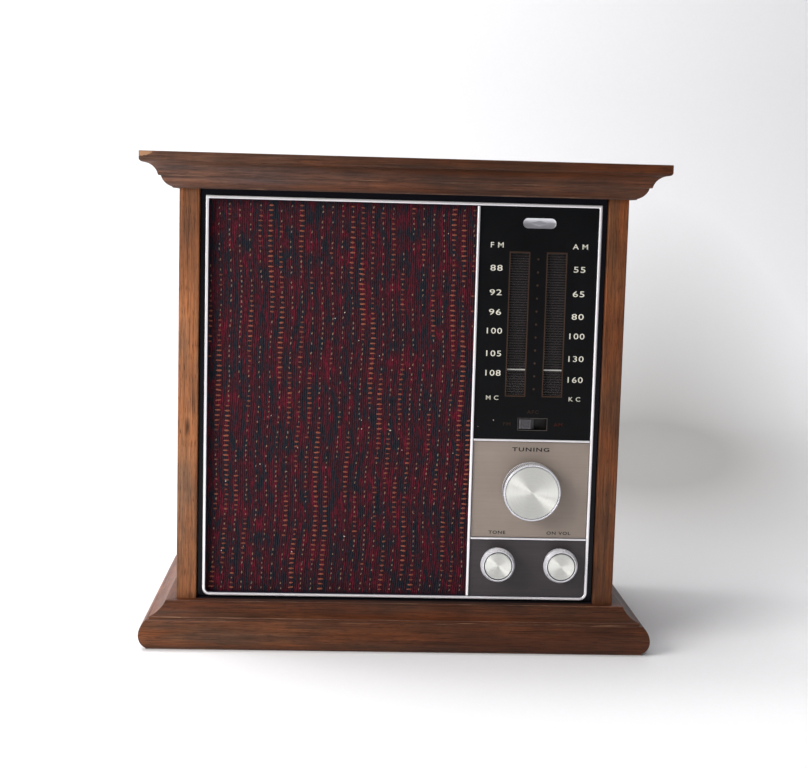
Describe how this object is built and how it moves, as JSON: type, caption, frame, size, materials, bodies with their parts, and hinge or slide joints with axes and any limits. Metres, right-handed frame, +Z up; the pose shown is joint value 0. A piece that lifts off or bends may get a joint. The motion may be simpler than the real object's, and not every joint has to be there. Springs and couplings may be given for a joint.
{
  "type": "table radio",
  "caption": "Table radio in a moulded walnut cabinet: cloth grille, upright slide-rule dial with one pointer, tuning, tone and volume knobs and a band slide switch.",
  "frame": {"origin": "on the surface the radio stands on, under the middle of its outline", "axes": "+X to the right seen from the front, +Y from the front to the back, +Z up"},
  "size_m": [0.327, 0.1872, 0.312],
  "materials": {
    "walnut": "oiled walnut veneer and solid walnut mouldings, satin lacquer",
    "particle_board": "raw particle board",
    "softwood": "sawn softwood strip",
    "hardboard": "tempered brown hardboard",
    "grille_cloth": "woven burgundy and navy grille cloth with orange-tan slubs",
    "black_moulding": "black moulded polystyrene",
    "bright_trim": "bright plated trim",
    "dial_black": "black back-painted dial plate",
    "clear_window": "clear acrylic",
    "ribbed_black": "dark ribbed dial back",
    "champagne_panel": "finely brushed champagne anodised aluminium",
    "charcoal_panel": "charcoal painted aluminium",
    "emblem_silver": "satin silver",
    "phenolic": "brown phenolic",
    "grey_plastic": "grey ribbed plastic",
    "knob_bright": "bright plated plastic",
    "spun_aluminium": "radially spun aluminium",
    "shaft_steel": "ground steel",
    "brass": "turned brass",
    "control_case": "plated steel case",
    "cream_plastic": "natural nylon",
    "dial_cord": "braided dial cord",
    "pointer_white": "white painted plastic",
    "plated_steel": "zinc plated steel",
    "capacitor_plates": "plain aluminium",
    "ferrite": "sintered ferrite",
    "cone_paper": "pressed black paper",
    "circuit_laminate": "brown paper-phenolic laminate",
    "can_aluminium": "drawn aluminium can",
    "transistor_black": "black moulded case",
    "transformer_iron": "varnished laminations and taped winding",
    "lamp_glass": "small dial lamp"
  },
  "bodies": {
    "cabinet": {"antenna_terminals": "phenolic", "back_cover": "hardboard", "baffle_board": "hardboard", "band_switch_housing": "phenolic", "base_front": "walnut", "base_left": "walnut", "base_right": "walnut", "bottom_board": "particle_board", "capacitor_frame": "plated_steel", "capacitor_stator": "capacitor_plates", "chassis_pan": "plated_steel", "circuit_board": "circuit_laminate", "column_divider": "bright_trim", "control_pots": "control_case", "corner_cleats": "softwood", "cross_dividers": "bright_trim", "crown_front": "walnut", "crown_left": "walnut", "crown_right": "walnut", "dial_cord": "dial_cord", "dial_lamp": "lamp_glass", "dial_panel": "dial_black", "dial_reflector": "ribbed_black", "electrolytic_cans": "can_aluminium", "emblem_plate": "emblem_silver", "ferrite_rod": "ferrite", "front_frame": "black_moulding", "grille_cloth": "grille_cloth", "if_cans": "can_aluminium", "left_side_board": "walnut", "lower_panel": "charcoal_panel", "mains_inlet": "black_moulding", "output_transistors": "transistor_black", "pointer_rail": "shaft_steel", "power_transformer": "transformer_iron", "right_side_board": "walnut", "rod_brackets": "cream_plastic", "speaker_basket": "plated_steel", "speaker_magnet": "ferrite", "top_board": "walnut", "trim_ring": "bright_trim", "tuning_bushing": "brass", "tuning_panel": "champagne_panel", "window_lenses": "clear_window", "wood_screws": "plated_steel"},
    "tuning": {"tuning_knob": "knob_bright", "tuning_knob_cap": "spun_aluminium", "tuning_shaft": "shaft_steel"},
    "tone": {"tone_knob": "knob_bright", "tone_knob_cap": "spun_aluminium", "tone_shaft": "shaft_steel"},
    "volume": {"volume_knob": "knob_bright", "volume_knob_cap": "spun_aluminium", "volume_shaft": "shaft_steel"},
    "band_slider": {"band_switch_slider": "grey_plastic"},
    "pointer": {"pointer_carriage": "pointer_white"},
    "drum": {"dial_drum": "cream_plastic", "capacitor_rotor": "capacitor_plates"},
    "idler": {"idler_pulley": "cream_plastic"},
    "cone": {"speaker_cone": "cone_paper"}
  },
  "joints": [
    {"name": "tuning_turn", "type": "hinge", "parent": "cabinet", "child": "tuning", "pos_m": [0.0852, -0.0714, 0.10325], "axis": [0, 1, 0], "range_deg": [-1235.44, 161.14]},
    {"name": "pointer_travel", "type": "slide", "parent": "cabinet", "child": "pointer", "axis": [0, 0, 1], "range_m": [-0.00905, 0.06905]},
    {"name": "drum_turn", "type": "hinge", "parent": "cabinet", "child": "drum", "pos_m": [0.0544, -0.0562, 0.208], "axis": [0, 1, 0], "range_deg": [-158.87, 20.81]},
    {"name": "idler_turn", "type": "hinge", "parent": "cabinet", "child": "idler", "pos_m": [0.0834, -0.0562, 0.269], "axis": [0, 1, 0], "range_deg": [-791.18, 103.63]},
    {"name": "tone_turn", "type": "hinge", "parent": "cabinet", "child": "tone", "pos_m": [0.0649, -0.0714, 0.05545], "axis": [0, 1, 0], "range_deg": [-150, 150]},
    {"name": "volume_turn", "type": "hinge", "parent": "cabinet", "child": "volume", "pos_m": [0.1055, -0.0714, 0.05545], "axis": [0, 1, 0], "range_deg": [0, 300]},
    {"name": "band_slide", "type": "slide", "parent": "cabinet", "child": "band_slider", "axis": [1, 0, 0], "range_m": [0, 0.0093]},
    {"name": "cone_stroke", "type": "slide", "parent": "cabinet", "child": "cone", "axis": [0, 1, 0], "range_m": [-0.001, 0.001], "stiffness_N_per_m": 1200}
  ],
  "couplings": [
    {"joint": "pointer_travel", "follows": "tuning_turn", "m_per_rad": -0.0032},
    {"joint": "drum_turn", "follows": "tuning_turn", "ratio": 0.12851},
    {"joint": "idler_turn", "follows": "tuning_turn", "ratio": 0.64}
  ]
}
